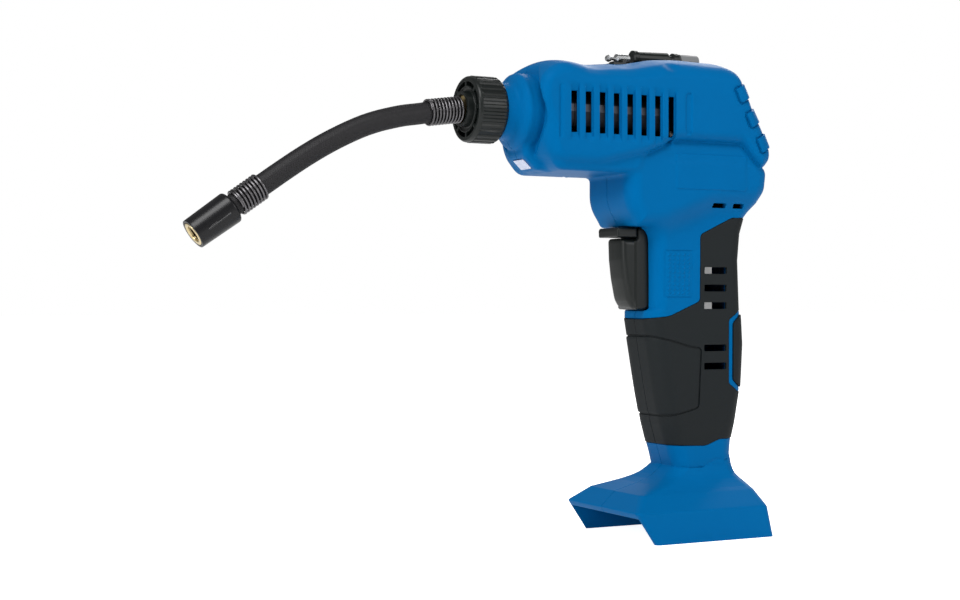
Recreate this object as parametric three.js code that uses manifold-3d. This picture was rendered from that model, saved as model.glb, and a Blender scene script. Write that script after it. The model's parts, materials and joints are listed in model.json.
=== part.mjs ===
// A cordless tyre inflator, bare tool: pistol grip, open battery foot, short hose with a valve connector.
// Millimetres, +Z up. The nose points along -X and the left side faces -Y.

import * as THREE from 'three';
import { mergeVertices } from 'three/addons/utils/BufferGeometryUtils.js';
import Module from 'manifold-3d';

const wasm = await Module();
wasm.setup();

// Driving dimensions. X is counted from the lower front corner of the foot, Z from the foot's edge.
const FRAME_SHIFT = 4.5; // puts the origin under the middle of the tool without its hose
const GAP = 0.3; // clearance between neighbouring pieces
const WALL = 2.5; // shell thickness of the body and the foot
const GRIP_WALL = 4; // shell thickness under the rubber
const RUBBER = 1.8; // thickness of the rubber covers
const BARREL_HALF = 28;
const BULGE_HALF = 24.5;
const FOOT_HALF = 37.5;
const BAY_ROOF = 14; // height of the battery bay above the foot's edge
const NOSE_Z = 227; // height of the nose and motor axis
const NUT_FRONT = -93;
const NUT_REAR = -76;
const NUT_RADIUS = 17.35;
const HUB_FRONT = -96;
const HOSE_RADIUS = 5.5;
const SPRING_RADIUS = 7;
const MOTOR_RADIUS = 18;
const MOTOR_FRONT = -38;
const MOTOR_REAR = 19;
const PINION_TEETH = 6;
const CRANK_TEETH = 30;
const CRANK_Z = 202; // height of the crank gear's axle
const CYLINDER_X = 38;

// Outlines in the X-Z plane.
const BARREL = [
  [-52, 199], [-59, 203], [-62, 211], [-62, 240], [-57, 248], [-48, 253.5], [-38, 255.5],
  [-12, 256], [8, 258.5], [28, 260], [55, 259.5], [64, 256], [70, 246], [87, 211], [87, 206],
  [82, 199], [65, 213.9], [21, 214.2], [1, 205.6], [-26, 199],
];
const CHIN = [[-57, 193.5], [-66, 201], [-66, 215], [-58, 220], [-50, 215], [-50, 193.5]];
const BULGE = [
  [-10, 205], [-10, 183], [-8, 177], [-3, 170.5], [-2, 167.8], [13, 167.8], [30, 174],
  [48, 181.3], [74, 184.9], [81, 199.5], [66, 217], [20, 217], [0, 209],
];
const BELLY = [[-60, 208], [-60, 197], [-57, 193.5], [-5, 193.5], [2, 208]]; // the barrel's underside
const COVER = [
  [-20, 51], [45.1, 49], [53.8, 52.3], [90, 52.4], [90, 173.6], [61.6, 173.6], [40.7, 163.9],
  [40.7, 127.7], [21.4, 119.7], [6.6, 118], [-20, 118.6],
];
const PALM_FRAME = [[90, 122.7], [67.7, 122.7], [59.9, 117.7], [59.7, 82.6], [66.6, 77.9], [90, 77.9]];
const PALM_INSERT = [[90, 120.5], [68.5, 120.5], [62.4, 115.9], [62.2, 84.4], [68, 80.2], [90, 80.2]];
const TRIGGER = [
  [-3.5, 161.6], [-3.2, 150], [-2, 140], [0.5, 128], [3, 124.6], [6, 123.2], [11, 123.2],
  [14.5, 127], [14.5, 167.3], [6.2, 167.3], [6.2, 161.6],
];

// The grip, neck and foot as rounded rectangles: height, front, rear, half width, corner radius.
const COLUMN = [
  [0, 0, 76, FOOT_HALF, 3], [17, -11.5, 72, FOOT_HALF, 3], [25, -3, 68, 28, 4],
  [29.5, 14, 65.8, 20.5, 7], [33.5, 21, 64.5, 18, 8], [38, 26, 63, 17, 8], [44, 23.5, 61, 17, 9],
  [51, 21.5, 61, 17, 9], [61, 18.5, 63.5, 17.5, 10], [78, 15, 66.5, 17.5, 10],
  [104, 10.5, 68, 17.5, 10], [118, 8.5, 67.5, 17.5, 10], [122, 9, 66.5, 17.5, 9],
  [122.6, 12, 66.5, 17.5, 8], [150, 12, 65.5, 18, 8], [165, 12, 67, 18, 8],
  [174, 12, 70.5, 18, 8], [182, 12, 76, 18, 8], [195, 12, 78, 18, 8],
];

// Repeated openings.
const VENT_XS = Array.from({ length: 8 }, (_, i) => -43.5 + 8.5 * i);
const VENT = { width: 3.9, bottom: 215, top: 236.5 };
const GRIP_SLOT_ZS = [144.5, 134.9, 125.3, 102.2, 92.3];
const GRIP_SLOT = { front: 43.5, rear: 58, height: 3.6 };

// Housing screws: X and Z of each, all driven in from the right side, and how far the head is from the middle.
const SCREWS = [
  [-22, 199.1, 20], [-52, 246, 20], [57, 248, 20], [3, 177.5, 18], [57, 159, 13], [40, 44.5, 13],
];
const SCREW = { post: 3.4, head: 2.6, headHeight: 2.2, shank: 1.4, length: 16 };

// The hose: a route in the plane Y = 0, chosen by hand.
const HOSE_ROUTE = [
  [-96.4, 226.6], [-103, 225.8], [-109, 225], [-115, 224], [-121, 223], [-128, 221.9], [-135, 220.3],
  [-142, 218.4], [-149, 216], [-156, 213], [-163, 209.6], [-170, 205.9], [-177, 201.8], [-184, 197.4],
  [-190, 193.4], [-196, 189.3], [-202, 185.1], [-208, 180.9], [-213, 177.3], [-218.2, 173.7],
];
const HOSE_STEPS = 12;
const CONNECTOR = { rear: [-218.5, 173.4], front: [-237.1, 160.2], radius: 7.8, bore: 3.85, insert: 6.2 };
const FRONT_SPRING = { rear: [-203.8, 183.8], front: [-216.4, 174.9] };
const REAR_SPRING = { rear: [-96.4, 226.6], front: [-115, 224] };

// The display lies on the sloping rear face.
const DISPLAY = { x: 78.5, z: 228.5, tilt: Math.atan2(17, 35), half: 14, height: 32 };

// Materials.
const material = (color, roughness, metalness = 0) =>
  new THREE.MeshStandardMaterial({ color, roughness, metalness });
const BLUE = material('#0464a6', 0.55);
const RUBBER_BLACK = material('#20292d', 0.85);
const BLACK = material('#222b2a', 0.5);
const HOSE_BLACK = material('#242327', 0.8);
const SPRING_STEEL = material('#3a3a3c', 0.35, 1);
const STEEL = material('#b9bcbf', 0.35, 1);
const BRASS = material('#c9a866', 0.3, 1);
const ALUMINIUM = material('#a9adb0', 0.4, 1);
const CLEAR = material('#dfe6f2', 0.15);
const GREY = material('#77797a', 0.5);
const BOARD_GREEN = material('#1f5a3a', 0.6);
const COPPER = material('#a8612f', 0.45, 1);
const WHITE = material('#d8dad6', 0.6);
const RED = material('#a8231d', 0.5);

// ---------------------------------------------------------------- solids

// Merges a geometry's corners, drops slivers and turns its faces outward, then makes a solid of it.
function solid(geometry) {
  geometry.deleteAttribute('normal');
  if (geometry.attributes.uv) geometry.deleteAttribute('uv');
  const merged = mergeVertices(geometry, 1e-4);
  const vertices = Float32Array.from(merged.attributes.position.array);
  const corner = (i) => new THREE.Vector3().fromArray(vertices, 3 * i);
  const index = merged.index.array;
  const triangles = [];
  let volume = 0;
  for (let i = 0; i < index.length; i += 3) {
    const [a, b, c] = [index[i], index[i + 1], index[i + 2]];
    if (a === b || b === c || c === a) continue;
    triangles.push(a, b, c);
    volume += corner(a).dot(corner(b).cross(corner(c)));
  }
  if (volume < 0) triangles.reverse();
  return new wasm.Manifold(
    new wasm.Mesh({ numProp: 3, vertProperties: vertices, triVerts: Uint32Array.from(triangles) }),
  );
}

// Turns a solid back into a geometry.
function geometryOf(body) {
  const mesh = body.getMesh();
  const geometry = new THREE.BufferGeometry();
  geometry.setAttribute('position', new THREE.BufferAttribute(Float32Array.from(mesh.vertProperties), 3));
  geometry.setIndex(new THREE.BufferAttribute(Uint32Array.from(mesh.triVerts), 1));
  geometry.computeVertexNormals();
  return geometry;
}

// Moves every side of a closed outline outward by a distance, or inward where it is negative.
function offset(points, distance) {
  const shape = points.map(([x, z]) => new THREE.Vector2(x, z));
  const turn = THREE.ShapeUtils.isClockWise(shape) ? -1 : 1;
  return shape.map((p, i) => {
    const before = shape[(i + shape.length - 1) % shape.length];
    const after = shape[(i + 1) % shape.length];
    const a = p.clone().sub(before).normalize();
    const b = after.clone().sub(p).normalize();
    const normal = new THREE.Vector2(a.y + b.y, -a.x - b.x).multiplyScalar(turn);
    const reach = (2 * distance) / normal.lengthSq();
    return [p.x + normal.x * reach, p.y + normal.y * reach];
  });
}

function shapeOf(points) {
  return new THREE.Shape(points.map(([x, z]) => new THREE.Vector2(x, z)));
}

// An outline in the X-Z plane, carried across the tool from -half to +half, with rounded edges.
function slab(points, half, round = 0, segments = 3) {
  const geometry = new THREE.ExtrudeGeometry(shapeOf(points), {
    depth: 2 * (half - round),
    steps: 1,
    bevelEnabled: round > 0,
    bevelThickness: round,
    bevelSize: round,
    bevelOffset: -round,
    bevelSegments: segments,
  });
  geometry.translate(0, 0, round - half);
  geometry.rotateX(Math.PI / 2);
  return solid(geometry);
}

// A stack of rounded rectangles, each one [height, front, rear, half width, corner radius], moved in by inset.
function stack(rings, inset = 0) {
  const cornerSteps = 3;
  const positions = [];
  for (const [z, front, rear, half, corner] of rings) {
    const r = Math.max(corner - inset, 0.5);
    const corners = [
      [rear - inset - r, half - inset - r, 0], [front + inset + r, half - inset - r, 1],
      [front + inset + r, inset + r - half, 2], [rear - inset - r, inset + r - half, 3],
    ];
    for (const [x, y, quarter] of corners) {
      for (let i = 0; i <= cornerSteps; i += 1) {
        const angle = (quarter + i / cornerSteps) * (Math.PI / 2);
        positions.push(x + r * Math.cos(angle), y + r * Math.sin(angle), z);
      }
    }
  }
  const around = 4 * (cornerSteps + 1);
  const index = [];
  for (let k = 0; k < rings.length - 1; k += 1) {
    for (let i = 0; i < around; i += 1) {
      const a = k * around + i;
      const b = k * around + ((i + 1) % around);
      index.push(a, b, b + around, a, b + around, a + around);
    }
  }
  const top = (rings.length - 1) * around;
  for (let i = 1; i < around - 1; i += 1) {
    index.push(0, i + 1, i, top, top + i, top + i + 1);
  }
  const geometry = new THREE.BufferGeometry();
  geometry.setAttribute('position', new THREE.Float32BufferAttribute(positions, 3));
  geometry.setIndex(index);
  return solid(geometry);
}

function block(x0, x1, y0, y1, z0, z1) {
  const geometry = new THREE.BoxGeometry(x1 - x0, y1 - y0, z1 - z0);
  geometry.translate((x0 + x1) / 2, (y0 + y1) / 2, (z0 + z1) / 2);
  return solid(geometry);
}

// A solid of revolution about X at the nose axis, its profile given as [radius, x].
function turned(profile, sides = 24, z = NOSE_Z) {
  const geometry = new THREE.LatheGeometry(profile.map(([r, x]) => new THREE.Vector2(r, x)), sides);
  geometry.rotateZ(-Math.PI / 2);
  geometry.translate(0, 0, z);
  return solid(geometry);
}

// A solid of revolution about the line from one point to another, its profile given as [radius, distance].
function turnedAlong(profile, from, to, sides = 24) {
  const geometry = new THREE.LatheGeometry(profile.map(([r, d]) => new THREE.Vector2(r, d)), sides);
  const start = new THREE.Vector3(...from);
  const direction = new THREE.Vector3(...to).sub(start).normalize();
  geometry.applyQuaternion(new THREE.Quaternion().setFromUnitVectors(new THREE.Vector3(0, 1, 0), direction));
  geometry.translate(start.x, start.y, start.z);
  return solid(geometry);
}

// A plain round bar from one point to another.
function bar(radius, from, to, sides = 16) {
  const length = new THREE.Vector3(...to).distanceTo(new THREE.Vector3(...from));
  return turnedAlong([[0, 0], [radius, 0], [radius, length], [0, length]], from, to, sides);
}

// A tube with a bore, from one point to another.
function sleeve(outer, inner, from, to, sides = 24) {
  const length = new THREE.Vector3(...to).distanceTo(new THREE.Vector3(...from));
  const profile = [[inner, 0], [outer, 0], [outer, length], [inner, length], [inner, 0]];
  return turnedAlong(profile, from, to, sides);
}

// A round section carried along a smooth route.
function tube(route, radius, steps, sides = 8) {
  const section = new THREE.Shape(
    Array.from({ length: sides }, (_, i) => {
      const angle = (2 * Math.PI * i) / sides;
      return new THREE.Vector2(radius * Math.cos(angle), radius * Math.sin(angle));
    }),
  );
  const path = new THREE.CatmullRomCurve3(route.map((p) => new THREE.Vector3(...p)));
  return solid(new THREE.ExtrudeGeometry(section, { steps, extrudePath: path, bevelEnabled: false }));
}

const parts = new THREE.Group();
parts.position.x = FRAME_SHIFT;

function add(name, body, finish) {
  const mesh = new THREE.Mesh(geometryOf(body), finish);
  mesh.name = name;
  parts.add(mesh);
}

// ---------------------------------------------------------------- housing

function housingSkin() {
  const boss = turned([[0, -75.2], [14.5, -75.2], [15.5, -74], [15.5, -69], [20, -65], [20, -60], [0, -60]]);
  return slab(BARREL, BARREL_HALF, 6)
    .add(slab(BULGE, BULGE_HALF, 8))
    .add(slab(BELLY, BULGE_HALF, 3))
    .add(slab(CHIN, 11, 2, 1))
    .add(boss)
    .add(stack(COLUMN));
}

function housingHollow() {
  const column = stack(COLUMN.slice(6), GRIP_WALL);
  const flare = stack([
    [19, 8, 66, 22, 3], [25, 14, 64.5, 18, 5], [31, 23, 62, 15.5, 5], [38, 29, 60, 14, 5], [45, 28, 57, 13, 5],
  ]);
  return slab(offset(BARREL, -WALL), BARREL_HALF - WALL - 0.7)
    .add(slab(offset(BULGE, -WALL - 1), BULGE_HALF - 2 * WALL))
    .add(column)
    .add(flare)
    .add(block(-57, 0, -19.5, 19.5, 193.5 + WALL, 209))
    .add(block(-5, 66, -21, 21, 190, 222))
    .add(block(60, 74, -12, 12, 182, 205));
}

function batteryBay() {
  const bay = block(-30, 72.5, WALL - FOOT_HALF, FOOT_HALF - WALL, -1, BAY_ROOF);
  const railY = FOOT_HALF - WALL - 3.5;
  return bay
    .subtract(block(10, 80, -FOOT_HALF, -railY, 4, 6.5))
    .subtract(block(10, 80, railY, FOOT_HALF, 4, 6.5));
}

function slots() {
  const half = { x: VENT.width / 2, z: GRIP_SLOT.height / 2 };
  const vents = VENT_XS.map((x) => block(x - half.x, x + half.x, -40, 40, VENT.bottom, VENT.top));
  const grip = GRIP_SLOT_ZS.map((z) => (
    block(GRIP_SLOT.front, GRIP_SLOT.rear, -40, 40, z - half.z, z + half.z)));
  return [...vents, ...grip].reduce((all, cut) => all.add(cut));
}

// The rubber lies in a pocket of the shell, so the shell is cut back over the same area.
function rubberRegion(clearance) {
  return slab(offset(COVER, clearance), 40)
    .subtract(slab(offset(PALM_FRAME, -clearance), 41))
    .add(slab(offset(PALM_INSERT, clearance), 40));
}

function screwPosts() {
  return SCREWS.map(([x, z]) => bar(SCREW.post, [x, -45, z], [x, 45, z], 12))
    .reduce((all, post) => all.add(post));
}

function screwHoles() {
  return SCREWS.map(([x, z, head]) =>
    bar(SCREW.shank + GAP, [x, head - SCREW.length - 1, z], [x, head + 5, z], 10).add(
      bar(SCREW.head + GAP, [x, head - SCREW.headHeight - GAP, z], [x, 45, z], 14)),
  ).reduce((all, hole) => all.add(hole));
}

function displayBox(halfY, upX, downX, depthIn, depthOut, y = 0) {
  const geometry = new THREE.BoxGeometry(depthIn + depthOut, 2 * halfY, upX + downX);
  geometry.translate((depthOut - depthIn) / 2, 0, (upX - downX) / 2);
  geometry.rotateY(-DISPLAY.tilt);
  geometry.translate(DISPLAY.x, y, DISPLAY.z);
  return solid(geometry);
}

function housing() {
  const half = DISPLAY.height / 2;
  const shell = housingSkin()
    .subtract(housingHollow().subtract(screwPosts()))
    .subtract(screwHoles())
    .subtract(batteryBay())
    .subtract(slots())
    .subtract(block(45, 53, -7, 2, BAY_ROOF - 1, 22))
    .subtract(rubberRegion(GAP).subtract(stack(COLUMN, RUBBER + GAP)).subtract(block(-30, 90, -40, 40, 174.2, 300)))
    .subtract(block(-12, 22, -9.6, 9.6, 122.9, 167.8))
    .subtract(block(-30, 8, -10.6, 10.6, 162, 167.8))
    .subtract(block(-10.3, 52.3, -11, 11, 249, 300))
    .subtract(turned([[0, -80], [7.5, -80], [7.5, -50], [0, -50]]))
    .subtract(ledBlock(5.6 + GAP, 3.3 + GAP, 11))
    .subtract(displayBox(DISPLAY.half + GAP, half + GAP, half + GAP, 12, 20));
  add('housing_left', shell.intersect(block(-100, 120, -60, -GAP / 2, -10, 300)), BLUE);
  add('housing_right', shell.intersect(block(-100, 120, GAP / 2, 60, -10, 300)), BLUE);
}

function gripRubber() {
  const skin = stack(COLUMN).subtract(stack(COLUMN, RUBBER)).subtract(slots());
  const below = block(-30, 90, -40, 40, -5, 173.7);
  const covers = skin.intersect(slab(COVER, 40)).subtract(slab(PALM_FRAME, 41)).intersect(below)
    .subtract(block(-12, 22, -9.6, 9.6, 118, 162));
  add('grip_cover_left', covers.intersect(block(-30, 90, -40, -GAP / 2, 0, 200)), RUBBER_BLACK);
  add('grip_cover_right', covers.intersect(block(-30, 90, GAP / 2, 40, 0, 200)), RUBBER_BLACK);
  add('palm_insert', skin.intersect(slab(PALM_INSERT, 40)), RUBBER_BLACK);
}

function housingScrews() {
  SCREWS.forEach(([x, z, head], i) => {
    const shank = bar(SCREW.shank, [x, head - SCREW.length, z], [x, head - 1, z], 10);
    const cap = bar(SCREW.head, [x, head - SCREW.headHeight, z], [x, head, z], 14);
    const socket = bar(1.2, [x, head - 1.2, z], [x, head + 1, z], 6);
    add(`housing_screw_${i + 1}`, shank.add(cap).subtract(socket), SPRING_STEEL);
  });
}

// ---------------------------------------------------------------- nose

// The lamp looks forward and down out of the sloping face of the chin.
function ledBlock(halfY, halfUp, depth) {
  const geometry = new THREE.BoxGeometry(depth, 2 * halfY, 2 * halfUp);
  geometry.translate(depth / 2 - 0.4, 0, 0);
  geometry.rotateY(-Math.atan2(9, 7.5));
  geometry.translate(-61.5, 0, 197.2);
  return solid(geometry);
}

function noseLamp() {
  add('led_lens', ledBlock(5.6, 3.3, 2.4), CLEAR);
  add('led_lamp', bar(1.6, [-58.3, 0, 201.2], [-55, 0, 205], 12), WHITE);
}

function hoseNut() {
  const ribs = 30;
  const rim = Array.from({ length: 2 * ribs }, (_, i) => {
    const angle = (Math.PI * i) / ribs;
    const radius = i % 2 ? NUT_RADIUS - 0.7 : NUT_RADIUS;
    return new THREE.Vector2(radius * Math.cos(angle), radius * Math.sin(angle));
  });
  const ring = new THREE.ExtrudeGeometry(new THREE.Shape(rim), {
    depth: NUT_REAR - NUT_FRONT, steps: 1, bevelEnabled: false,
  });
  ring.rotateY(Math.PI / 2);
  ring.translate(NUT_FRONT, 0, NOSE_Z);
  const edge = turned([
    [0, NUT_FRONT], [15.4, NUT_FRONT], [18, NUT_FRONT + 2.2], [18, NUT_REAR - 1], [17, NUT_REAR], [0, NUT_REAR],
  ], 32);
  const dish = turned([
    [9.2, NUT_FRONT - 1], [14.6, NUT_FRONT - 1], [14.6, NUT_FRONT + 2], [11.6, NUT_FRONT + 2],
    [9.2, NUT_FRONT + 1], [9.2, NUT_FRONT - 1],
  ], 32);
  const hub = turned([[0, HUB_FRONT], [9, HUB_FRONT], [9.2, NUT_FRONT + 4], [0, NUT_FRONT + 4]]);
  const bore = turned([
    [0, HUB_FRONT - 1], [7.4, HUB_FRONT - 1], [7.4, NUT_FRONT + 5], [13, NUT_FRONT + 5], [13, NUT_REAR + 1],
    [0, NUT_REAR + 1],
  ]);
  add('hose_nut', solid(ring).intersect(edge).subtract(dish).add(hub).subtract(bore), BLACK);
}

function noseFittings() {
  add('nose_spigot', turned([
    [2.5, -83.5], [6, -83.5], [6.6, -82.5], [6.6, -59.2], [11, -59.2], [11, -57], [2.5, -57], [2.5, -83.5],
  ]).add(bar(3.8, [-57.2, 0, NOSE_Z], [-49.7, 0, NOSE_Z])).add(bar(3.4, [-53.4, 0, NOSE_Z], [-53.4, 0, 220.5])), BRASS);
  add('hose_tail_fitting', turned([
    [2.5, -94.8], [6.9, -94.8], [6.9, -87.7], [12, -87.7], [12, -84.2], [2.5, -84.2], [2.5, -94.8],
  ]), BRASS);
}

// ---------------------------------------------------------------- hose

const inPlane = ([x, z]) => [x, 0, z];

function hose() {
  add('hose', tube(HOSE_ROUTE.map(inPlane), HOSE_RADIUS, HOSE_STEPS, 10), HOSE_BLACK);
  for (const [name, spring] of [['hose_spring_rear', REAR_SPRING], ['hose_spring_front', FRONT_SPRING]]) {
    const body = sleeve(SPRING_RADIUS, HOSE_RADIUS + GAP, inPlane(spring.rear), inPlane(spring.front), 16);
    add(name, body, SPRING_STEEL);
  }
}

// The valve connector turns on the hose end. Distances run back from its front face.
function connector() {
  const front = inPlane(CONNECTOR.front);
  const rear = inPlane(CONNECTOR.rear);
  const length = Math.hypot(rear[0] - front[0], rear[2] - front[2]);
  const r = CONNECTOR.radius;
  const { bore, insert } = CONNECTOR;
  add('connector_sleeve', turnedAlong([
    [insert + GAP, 0], [r - 0.7, 0], [r - 0.4, 0.6], [r, length - 1.5], [r - 0.8, length], [3, length],
    [3, 14], [insert + GAP, 14], [insert + GAP, 0],
  ], front, rear), BLACK);
  add('connector_insert', turnedAlong([
    [bore + 0.6, 0.2], [insert, 0.2], [insert, 11], [bore, 11], [bore, 0.8], [bore + 0.6, 0.2],
  ], front, rear, 20), BRASS);
  add('connector_seal', turnedAlong([[1.4, 11.3], [insert, 11.3], [insert, 13.7], [1.4, 13.7], [1.4, 11.3]],
    front, rear, 16), RUBBER_BLACK);
  add('connector_pin', turnedAlong([[0, 6], [0.9, 6], [0.9, 14.5], [2.6, 14.5], [2.6, 16.5], [0, 16.5]],
    front, rear, 12), BRASS);
}

// ---------------------------------------------------------------- hand controls

function controls() {
  const plungerGap = block(14.3, 16, -3, 3, 140, 146);
  add('trigger', slab(TRIGGER, 8.9, 2, 2).subtract(block(5, 30, -6.5, 6.5, 126, 159)).add(
    block(4, 14.5, -3.3, 3.3, 136, 148)).subtract(plungerGap), BLACK);
  add('trigger_lock', block(-7, 5.5, -10, 10, 162.9, 167.3).add(block(1, 5.5, -5, 5, 162.3, 163)), BLACK);
  add('switch_plunger', block(15, 26, -2, 2, 141, 145), WHITE);
  add('trigger_switch', block(23, 40, -7, 7, 131, 150).subtract(block(20, 33, -2.4, 2.4, 140.6, 145.4)), BLACK);
}

// ---------------------------------------------------------------- adaptor tray on top

function adaptorTray() {
  let tray = block(-10, 52, -10.7, 10.7, 251, 255.4);
  for (const x of [-1, 14, 28, 45]) {
    tray = tray.add(block(x - 1, x + 1, -7, 7, 255, 258.2));
  }
  const grooves = bar(3.3, [-6, 0, 259], [6, 0, 259]).add(bar(4.8, [7, 0, 260], [37, 0, 260]))
    .add(bar(4.6, [38, 0, 260], [50, 0, 260]));
  add('adaptor_tray', tray.subtract(grooves), BLACK);
  add('adaptor_needle', turned([
    [0, -8.5], [1.4, -8.2], [2, -6.8], [1.4, -5.4], [1, -5], [1, -3], [2.8, -2], [2.8, 5.4], [0, 5.4],
  ], 12, 259), STEEL);
  add('adaptor_taper', turned([
    [0, 7.5], [3.4, 7.5], [4.3, 8.2], [4.3, 10.5], [3.8, 11], [4.4, 30], [3, 31], [3, 33], [4.4, 34],
    [4.4, 36.5], [0, 36.5],
  ], 16, 260), BLACK);
  add('adaptor_narrow', turned([[0, 38], [4.1, 38], [4.1, 49.5], [0, 49.5]], 16, 260), GREY);
}

// ---------------------------------------------------------------- display

function display() {
  const half = DISPLAY.height / 2;
  const bezel = displayBox(DISPLAY.half, half, half, 2, 0.8)
    .subtract(displayBox(10.3, 12.3, 3.3, 5, 3))
    .subtract(displayBox(12.5, -6.2, 14.5, 5, 3));
  const between = [-6, 0, 6].map((y) => displayBox(0.35, -5.8, 14.9, 2, 0.4, y));
  add('display_bezel', between.reduce((all, rib) => all.add(rib), bezel), BLACK);
  add('display_lens', displayBox(10, 12, 3, 1.2, 0), CLEAR);
  add('display_module', displayBox(10, 12, 3, 4, -1.6), GREY);
  add('display_board', displayBox(13, 15, 15, 6.2, -4.6), BOARD_GREEN);
  for (let i = 0; i < 4; i += 1) {
    add(`display_button_${i + 1}`, displayBox(2.3, -7, 13.8, 2.6, 1.2, -9.1 + 6.07 * i), BLACK);
  }
}

// ---------------------------------------------------------------- motor and pump

function toothed(teeth, tip, root, x0, x1, z) {
  const outline = Array.from({ length: 2 * teeth }, (_, i) => {
    const angle = (Math.PI * i) / teeth;
    const radius = i % 2 ? root : tip;
    return new THREE.Vector2(radius * Math.cos(angle), radius * Math.sin(angle));
  });
  const geometry = new THREE.ExtrudeGeometry(new THREE.Shape(outline), {
    depth: x1 - x0, steps: 1, bevelEnabled: false,
  });
  geometry.rotateY(Math.PI / 2);
  geometry.translate(x0, 0, z);
  return solid(geometry);
}

function motor() {
  const r = MOTOR_RADIUS;
  add('motor_can', turned([
    [2.2, MOTOR_REAR - 1.5], [r - 1.5, MOTOR_REAR - 1.5], [r - 1.5, MOTOR_FRONT], [r, MOTOR_FRONT],
    [r, MOTOR_REAR], [2.2, MOTOR_REAR], [2.2, MOTOR_REAR - 1.5],
  ], 28), STEEL);
  add('motor_end_cap', turned([
    [2.2, MOTOR_FRONT - 2.5], [r, MOTOR_FRONT - 2.5], [r, MOTOR_FRONT - GAP], [2.2, MOTOR_FRONT - GAP],
    [2.2, MOTOR_FRONT - 2.5],
  ], 28), WHITE);
  add('armature', turned([
    [0, -49], [1.6, -49], [1.6, -33], [5, -33], [5, -26], [11, -24], [13, -20], [13, 8], [11, 12],
    [1.6, 14], [1.6, 31], [0, 31],
  ], 20), COPPER);
  let fan = turned([[1.9, -48], [4, -48], [4, -43], [15, -43], [15, -42], [1.9, -42], [1.9, -48]], 20);
  for (let i = 0; i < 7; i += 1) {
    const blade = new THREE.BoxGeometry(5, 0.9, 10.8).translate(-45, 0, 9.2);
    fan = fan.add(solid(blade.rotateX((2 * Math.PI * i) / 7).translate(0, 0, NOSE_Z)));
  }
  add('cooling_fan', fan, BLACK);
  const pinion = toothed(PINION_TEETH, 4, 3.3, 22, 29, NOSE_Z);
  add('pinion', pinion.subtract(bar(1.9, [20, 0, NOSE_Z], [32, 0, NOSE_Z], 12)), BRASS);
}

function crankDrive() {
  const plate = slab([[19.5, 186], [21.3, 186], [21.3, 245], [19.5, 245]], 17);
  add('gearbox_plate', plate.subtract(bar(3, [18, 0, NOSE_Z], [23, 0, NOSE_Z], 16))
    .subtract(bar(2.8, [18, 0, CRANK_Z], [23, 0, CRANK_Z], 16)), ALUMINIUM);
  add('crank_axle', bar(2.5, [18.5, 0, CRANK_Z], [31.5, 0, CRANK_Z], 16), STEEL);
  const gear = toothed(CRANK_TEETH, 20.5, 19.9, 22, 28, CRANK_Z)
    .add(bar(6, [27, 0, CRANK_Z], [31, 0, CRANK_Z], 16))
    .subtract(bar(2.8, [20, 0, CRANK_Z], [35, 0, CRANK_Z], 16));
  add('crank_gear', gear, WHITE);
}

function pump() {
  const x = CYLINDER_X;
  add('piston', turnedAlong([[0, 0], [8.2, 0], [8.2, 9], [0, 9]], [x, 0, 168], [x, 0, 190], 20)
    .subtract(block(x - 3.3, x + 3.3, -6, 6, 171, 178)), ALUMINIUM);
  const rod = block(x - 2.6, x + 2.6, -2.5, 2.5, 171.6, 189).add(
    bar(4.5, [x - 2.6, 0, 190.5], [x + 2.6, 0, 190.5], 16));
  add('connecting_rod', rod.subtract(bar(2.3, [x - 4, 0, 190.5], [x + 4, 0, 190.5], 12)), WHITE);
  add('crank_pin', bar(2, [28.6, 0, 190.5], [x + 3.2, 0, 190.5], 12), STEEL);
  add('cylinder', sleeve(11, 8.5, [x, 0, 157], [x, 0, 180.8], 24), ALUMINIUM);
  const port = bar(2.6, [x, 0, 153.7], [21, 0, 153.7], 12).add(bar(3, [22.5, 0, 151], [22.5, 0, 158], 12));
  const head = turnedAlong([[0, 0], [11.5, 0], [11.5, 6], [0, 6]], [x, 0, 150.7], [x, 0, 180], 24);
  add('cylinder_head', head.add(port), ALUMINIUM);
}

function airLine() {
  const route = [
    [22.5, 0, 158.3], [22.8, 0, 167], [20, 0, 176], [13, 0, 186], [6, 0, 195.5], [-2, 0, 202.6],
    [-12, 0, 205.6], [-24, 0, 205.8], [-38, 0, 205.8], [-46, 0, 206.3], [-51.5, 0, 209.5],
    [-53.4, 0, 215], [-53.4, 0, 220.2],
  ];
  add('outlet_tube', tube(route, 2.5, 26, 8), BLACK);
}

// ---------------------------------------------------------------- electrics

function electrics() {
  add('control_board', block(24, 40, 5, 6.6, 62, 112), BOARD_GREEN);
  const block1 = block(36, 62, -13, 13, 5, BAY_ROOF - GAP);
  add('terminal_block', block1.subtract(block(30, 58, -9, -6.4, 3, 11)).subtract(block(30, 58, -1.3, 1.3, 3, 11))
    .subtract(block(30, 58, 6.4, 9, 3, 11)), BLACK);
  [-7.7, 0, 7.7].forEach((y, i) => {
    add(`terminal_blade_${i + 1}`, block(40, 57, y - 0.4, y + 0.4, 5.5, 10.5), BRASS);
  });
  for (const [name, y, finish] of [['battery_lead_positive', -4.5, RED], ['battery_lead_negative', -1, BLACK]]) {
    const route = [[49, y, 14.2], [48.5, y, 30], [46, y, 50], [41, y, 80], [36, y, 110], [32, y, 130.6]];
    add(name, tube(route, 1.4, 10), finish);
  }
}

housing();
gripRubber();
housingScrews();
noseLamp();
hoseNut();
noseFittings();
hose();
connector();
controls();
adaptorTray();
display();
motor();
crankDrive();
pump();
airLine();
electrics();

export default parts;
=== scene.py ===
"""A cordless tyre inflator, bare tool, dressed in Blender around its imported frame.

Lengths are in millimetres until place() puts a piece down in metres. X is counted from the lower
front corner of the foot, and Z from the foot's edge.
"""

import json

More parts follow.
